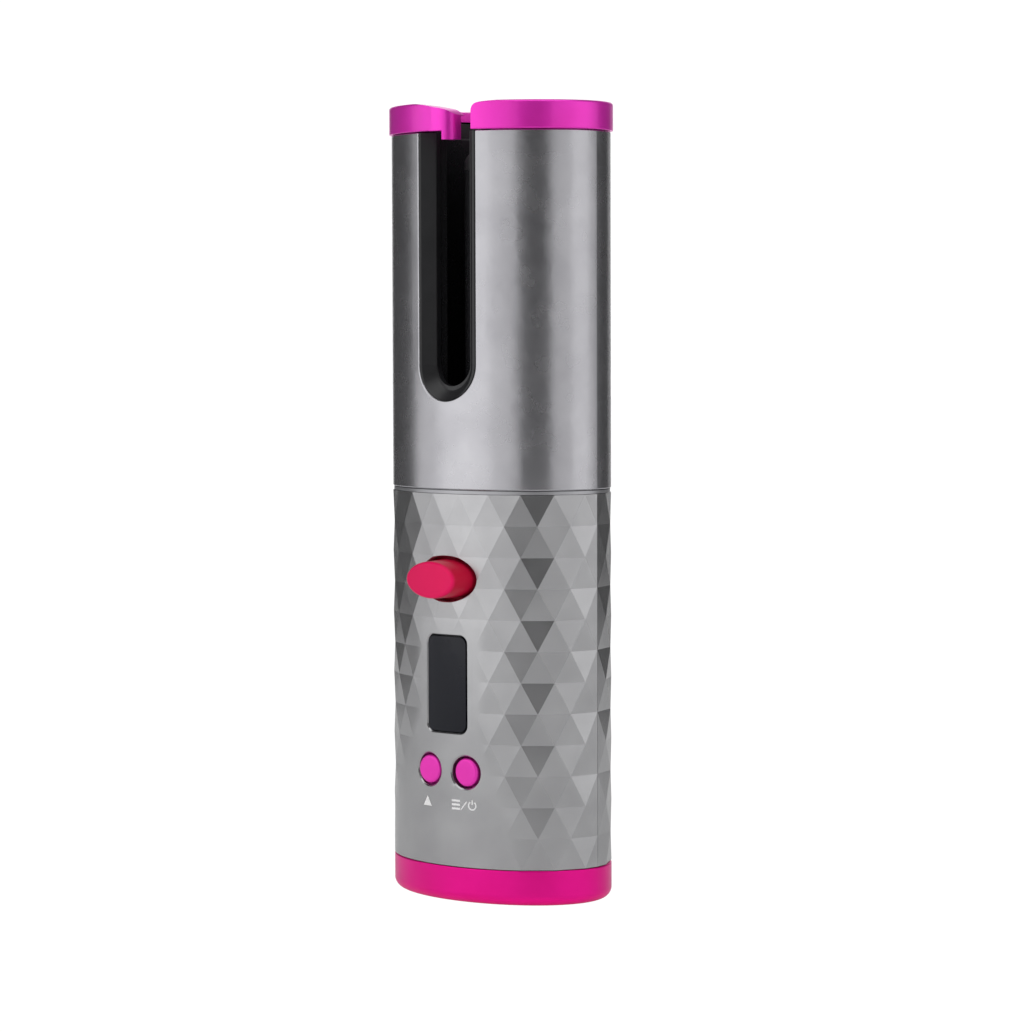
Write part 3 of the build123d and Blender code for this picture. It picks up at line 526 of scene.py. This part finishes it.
def coated(name, dark, light, metallic, roughness, coat=0.0, specular=0.5, wear=None):
    """Sprayed finish: uneven tone, fine flake, orange peel and slightly rubbed edges."""
    paint = Paint(name, Metallic=metallic, Specular_IOR_Level=specular,
                  Coat_Weight=coat, Coat_Roughness=0.12)
    clouds = paint.noise(scale=90.0, detail=4.0)
    flake = paint.noise(scale=2600.0, detail=2.0, rough=0.7)
    peel = paint.noise(scale=160.0, detail=3.0)
    tone = paint.mix(paint.spread(clouds, 0.0, 1.0), dark, light)
    tone = paint.mix(paint.spread(flake, 0.0, 0.35), tone, light)
    if wear:
        tone = paint.mix(paint.worn(), tone, wear)
    paint.colour(tone, paint.spread(peel, 0.92 * roughness, 1.08 * roughness))
    paint.bump(flake, strength=0.04, distance=SPRAY_GRAIN)
    return paint.material


def moulded(name, dark, light, roughness, grain_bump=0.15, **inputs):
    """Moulded plastic: faint tone variation, paler worn edges and a fine spark-eroded grain."""
    paint = Paint(name, **inputs)
    clouds = paint.noise(scale=60.0, detail=4.0)
    sheen = paint.noise(scale=220.0, detail=3.0)
    grain = paint.noise(scale=PLASTIC_GRAIN_SCALE, detail=2.0, rough=0.6)
    rubbed = tuple(min(1.0, 1.5 * channel + 0.01) for channel in light)
    tone = paint.mix(paint.spread(clouds, 0.0, 1.0), dark, light)
    tone = paint.mix(paint.worn(), tone, rubbed)
    paint.colour(tone, paint.spread(sheen, 0.9 * roughness, 1.1 * roughness))
    paint.bump(grain, strength=grain_bump, distance=MOULD_GRAIN)
    return paint.material


def trigger_finish(name, face, stem_shade):
    """Gloss trigger pink with painted light and shade: the face is lighter towards +X, and deepens behind
    the front to a painted shade colour.
    """
    paint = Paint(name, Roughness=0.34, Specular_IOR_Level=0.15)
    split = paint.add("ShaderNodeSeparateXYZ")
    paint.join(paint.place, split.inputs[0])
    # Mask of the painted shade: 0 at the trigger's front, 1 deeper behind it.
    depth = paint.ramp(split.outputs["Y"], *(TRIGGER_FACE_Y + behind for behind in TRIGGER_STEM_SHADE_DEPTHS))
    across = paint.ramp(split.outputs["X"], *TRIGGER_SHADE)
    clouds = paint.noise(scale=60.0, detail=4.0)
    grain = paint.noise(scale=PLASTIC_GRAIN_SCALE, detail=2.0, rough=0.6)
    # Painted light across the face: 0.86 times its pink at the left, full pink at the right.
    painted_lit_face = paint.mix(across, scaled(face, 0.86), face)
    # Random tone that drifts part way towards the painted shade colour, then the painted shade colour
    # behind the face.
    uneven = paint.mix(paint.spread(clouds, 0.0, 0.3), painted_lit_face, stem_shade)
    paint.colour(paint.mix(depth, uneven, stem_shade))
    paint.bump(grain, strength=0.06, distance=MOULD_GRAIN)
    return paint.material


def machined(name, tone, roughness, stretch):
    """Turned or drawn metal with fine lines along one way."""
    paint = Paint(name, Metallic=1.0)
    lines = paint.noise(scale=1500.0, detail=2.0, rough=0.6, stretch=stretch)
    shade = paint.mix(paint.spread(lines, 0.0, 1.0), scaled(tone, 0.86), tone)
    paint.colour(shade, paint.spread(lines, 0.8 * roughness, 1.2 * roughness))
    paint.bump(lines, strength=0.2, distance=SPRAY_GRAIN)
    return paint.material


ALONG = (1, 1, 0.05)                   # lines that run up the part
ROUND = (0.05, 0.05, 1)                # lines that run round it

MATERIALS = {
    "grip_paint": coated("grip_paint", (0.38, 0.38, 0.39), (0.48, 0.48, 0.49),
                         metallic=0.92, roughness=0.245, wear=(0.62, 0.62, 0.63)),
    "sleeve_metal": coated("sleeve_metal", (0.41, 0.405, 0.43), (0.51, 0.505, 0.53),
                           metallic=0.97, roughness=0.265, wear=(0.64, 0.635, 0.66)),
    "collar_grey": coated("collar_grey", (0.36, 0.36, 0.38), (0.46, 0.46, 0.48),
                          metallic=0.8, roughness=0.34),
    "pink_metallic": coated("cap_pink", (0.92, 0.025, 0.54), (1.0, 0.035, 0.66),
                            metallic=0.52, roughness=0.32, coat=0.22, wear=(1.0, 0.10, 0.74)),
    "base_pink": coated("base_pink", (0.90, 0.004, 0.28), (1.0, 0.006, 0.34),
                        metallic=0.68, roughness=0.33, coat=0.04, specular=0.25, wear=(1.0, 0.03, 0.42)),
    # The trigger's stem colour is painted shade; its face gets painted light across it.
    "pink_keys": trigger_finish("trigger_pink", face=(1.0, 0.008, 0.145), stem_shade=(0.62, 0.006, 0.045)),
    "key_pink": coated("key_pink", (0.94, 0.03, 0.50), (1.0, 0.04, 0.60), metallic=0.40, roughness=0.32),
    "black_plastic": moulded("black_plastic", (0.008, 0.008, 0.009), (0.014, 0.014, 0.016), 0.38),
    "rotor_plastic": moulded("rotor_plastic", (0.010, 0.010, 0.011), (0.018, 0.018, 0.020), 0.28),
    "display_glass": moulded("display_glass", (0.004, 0.005, 0.010), (0.007, 0.008, 0.015), 0.12,
                             grain_bump=0.0, Specular_IOR_Level=0.25, Coat_Weight=0.1, Coat_Roughness=0.04),
    "lcd_face": moulded("lcd_face", (0.02, 0.022, 0.028), (0.03, 0.032, 0.04), 0.3),
    "barrel_ceramic": coated("barrel_ceramic", (0.03, 0.03, 0.034), (0.05, 0.05, 0.055),
                             metallic=0.1, roughness=0.28, coat=0.4),
    "heat_plastic": moulded("heat_plastic", (0.05, 0.05, 0.052), (0.07, 0.07, 0.072), 0.5),
    "aluminium": machined("aluminium", (0.75, 0.75, 0.76), 0.3, (1, 1, 0.02)),
    "ptc_ceramic": moulded("ptc_ceramic", (0.75, 0.73, 0.66), (0.85, 0.83, 0.78), 0.6),
    "steel": machined("steel", (0.60, 0.60, 0.61), 0.28, ALONG),
    "motor_case": machined("motor_case", (0.52, 0.52, 0.53), 0.35, ALONG),
    "brass": machined("brass", (0.72, 0.54, 0.25), 0.28, ROUND),
    "gear_plastic": moulded("gear_plastic", (0.74, 0.73, 0.66), (0.82, 0.81, 0.75), 0.45),
    "frame_plastic": moulded("frame_plastic", (0.06, 0.06, 0.065), (0.09, 0.09, 0.095), 0.5),
    "board_green": moulded("board_green", (0.012, 0.12, 0.05), (0.02, 0.17, 0.08), 0.35),
    "chip_black": moulded("chip_black", (0.015, 0.015, 0.016), (0.03, 0.03, 0.03), 0.55),
    "cell_wrap": moulded("cell_wrap", (0.03, 0.16, 0.42), (0.04, 0.20, 0.50), 0.25, grain_bump=0.02),
    "lead_cover": moulded("lead_cover", (0.45, 0.02, 0.02), (0.55, 0.03, 0.03), 0.5),
    "mark_print": moulded("mark_print", (0.90, 0.90, 0.91), (0.97, 0.97, 0.98), 0.5, grain_bump=0.05),
}
OWN_FINISH = {"base_cap": "base_pink", "left_button": "key_pink", "right_button": "key_pink"}
for entry in frame["record"]["subparts"]:
    finish = OWN_FINISH.get(entry["node"], entry["material_slot"])
    for slot in NODES[entry["node"]].material_slots:
        slot.material = MATERIALS[finish]

# ---------------------------------------------------------------- pieces
front_shell = grip_shell("front_shell", rear=False)
rear_shell = grip_shell("rear_shell", rear=True)
cut(front_shell, [
    opening_cutter(oval_outline, TRIGGER, TRIGGER_OPENING),
    opening_cutter(rounded_outline, LENS, LENS_OPENING),
    opening_cutter(oval_outline, LEFT_KEY, KEY_OPENING),
    opening_cutter(oval_outline, RIGHT_KEY, KEY_OPENING),
])
crisp_normals(front_shell, rear=False)
crisp_normals(rear_shell, rear=True)
for shell, node in ((front_shell, "front_grip_shell"), (rear_shell, "rear_grip_shell")):
    shell.data.materials.clear()
    shell.data.materials.append(MATERIALS["grip_paint"])
    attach(shell, "housing")
    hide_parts(node)

marks = control_marks()
marks.data.materials.append(MATERIALS["mark_print"])
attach(marks, "housing")

# ---------------------------------------------------------------- camera
VIEW_AZIMUTH = math.radians(39.7)      # from the front, towards the part's +X side
VIEW_DISTANCE = 0.8617
VIEW_HEIGHT = 0.1452
VIEW_PITCH = 3.32                      # degrees downwards
VIEW_ROLL = -0.18                      # degrees
FOCAL_LENGTH = 119.2                   # mm, on a sensor 36 mm wide
SHIFT_X = 0.0143                       # share of the picture's width

camera = bpy.data.objects.new("camera", bpy.data.cameras.new("camera"))
camera.data.lens = FOCAL_LENGTH
camera.data.sensor_width = 36.0
camera.data.shift_x = SHIFT_X
camera.location = (VIEW_DISTANCE * math.sin(VIEW_AZIMUTH),
                   -VIEW_DISTANCE * math.cos(VIEW_AZIMUTH),
                   VIEW_HEIGHT)
level = Euler((math.radians(90 - VIEW_PITCH), 0.0, VIEW_AZIMUTH)).to_matrix()
camera.rotation_euler = (level @ Matrix.Rotation(math.radians(VIEW_ROLL), 3, "Z")).to_euler()
SCENE.collection.objects.link(camera)
SCENE.camera = camera

# ---------------------------------------------------------------- stage and light
WHITE = (1, 1, 1, 1)
SEEN_WHITE = 1.05                      # strength of the white that the camera sees behind the object
WORLD_LIGHT = 0.07
FLOOR_SIZE = 1.1
FLOOR_TONE = 0.8
FLOOR_GLOW = 0.15
FLOOR_Z = -0.2 * MM
LIGHT_AIM = Vector((0, 0, 0.1))        # the middle of the object


def seen_white(tree, surface, target, kind):
    """Sends surface to target, but pure white of the given node kind to what the camera sees directly."""
    path = tree.nodes.new("ShaderNodeLightPath")
    white = tree.nodes.new(kind)
    white.inputs["Color"].default_value = WHITE
    white.inputs["Strength"].default_value = SEEN_WHITE
    mix = tree.nodes.new("ShaderNodeMixShader")
    tree.links.new(path.outputs["Is Camera Ray"], mix.inputs[0])
    tree.links.new(surface, mix.inputs[1])
    tree.links.new(white.outputs[0], mix.inputs[2])
    tree.links.new(mix.outputs[0], target)


def stage_floor():
    """Pale floor that shows as white and still bounces light on to the object."""
    material = bpy.data.materials.new("floor")
    material.use_nodes = True
    tree = material.node_tree
    shader = tree.nodes["Principled BSDF"]
    shader.inputs["Base Color"].default_value = (FLOOR_TONE, FLOOR_TONE, FLOOR_TONE, 1)
    shader.inputs["Roughness"].default_value = 0.9
    shader.inputs["Specular IOR Level"].default_value = 0.1
    shader.inputs["Emission Color"].default_value = WHITE
    shader.inputs["Emission Strength"].default_value = FLOOR_GLOW
    target = tree.nodes["Material Output"].inputs["Surface"]
    seen_white(tree, shader.outputs[0], target, "ShaderNodeEmission")
    bpy.ops.mesh.primitive_plane_add(size=FLOOR_SIZE, location=(0, 0, FLOOR_Z))
    plane = bpy.context.object
    plane.name = "floor"
    plane.data.materials.append(material)


def soft_light(name, azimuth, elevation, distance, width, height, power):
    """Area light on a sphere round the object. Azimuth is from the camera's side, to the right."""
    light = bpy.data.objects.new(name, bpy.data.lights.new(name, "AREA"))
    light.data.shape = "RECTANGLE"
    light.data.size = width
    light.data.size_y = height
    light.data.energy = power
    angle = VIEW_AZIMUTH + math.radians(azimuth)
    rise = math.radians(elevation)
    offset = Vector((math.sin(angle) * math.cos(rise), -math.cos(angle) * math.cos(rise), math.sin(rise)))
    light.location = LIGHT_AIM + offset * distance
    light.rotation_euler = (-offset).to_track_quat("-Z", "Y").to_euler()
    SCENE.collection.objects.link(light)
    return light


def studio_world():
    """White surroundings that show as white and give only a little light."""
    world = bpy.data.worlds.new("studio")
    world.use_nodes = True
    tree = world.node_tree
    surround = tree.nodes["Background"]
    surround.inputs["Color"].default_value = WHITE
    surround.inputs["Strength"].default_value = WORLD_LIGHT
    target = tree.nodes["World Output"].inputs["Surface"]
    seen_white(tree, surround.outputs[0], target, "ShaderNodeBackground")
    SCENE.world = world


stage_floor()

# Two tall softboxes either side of the camera, each with a hotter middle.
soft_light("left_box", azimuth=-64, elevation=4, distance=1.0, width=2.02, height=1.5, power=8.1)
soft_light("left_core", azimuth=-64, elevation=4, distance=0.98, width=0.75, height=1.5, power=1.5)
soft_light("right_box", azimuth=57, elevation=4, distance=1.0, width=1.72, height=1.5, power=5.7)
soft_light("right_core", azimuth=64, elevation=4, distance=0.98, width=0.60, height=1.5, power=0.9)
# A strip for the right rim, one box behind that the camera doesn't see, and one overhead.
soft_light("right_rim", azimuth=152, elevation=4, distance=1.0, width=0.24, height=1.5, power=0.4)
back_box = soft_light("back_box", azimuth=180, elevation=12, distance=1.3, width=0.8, height=1.5, power=4.0)
back_box.visible_camera = False
soft_light("top_box", azimuth=0, elevation=75, distance=1.3, width=1.6, height=1.2, power=8)

studio_world()
SCENE.view_settings.view_transform = "Standard"
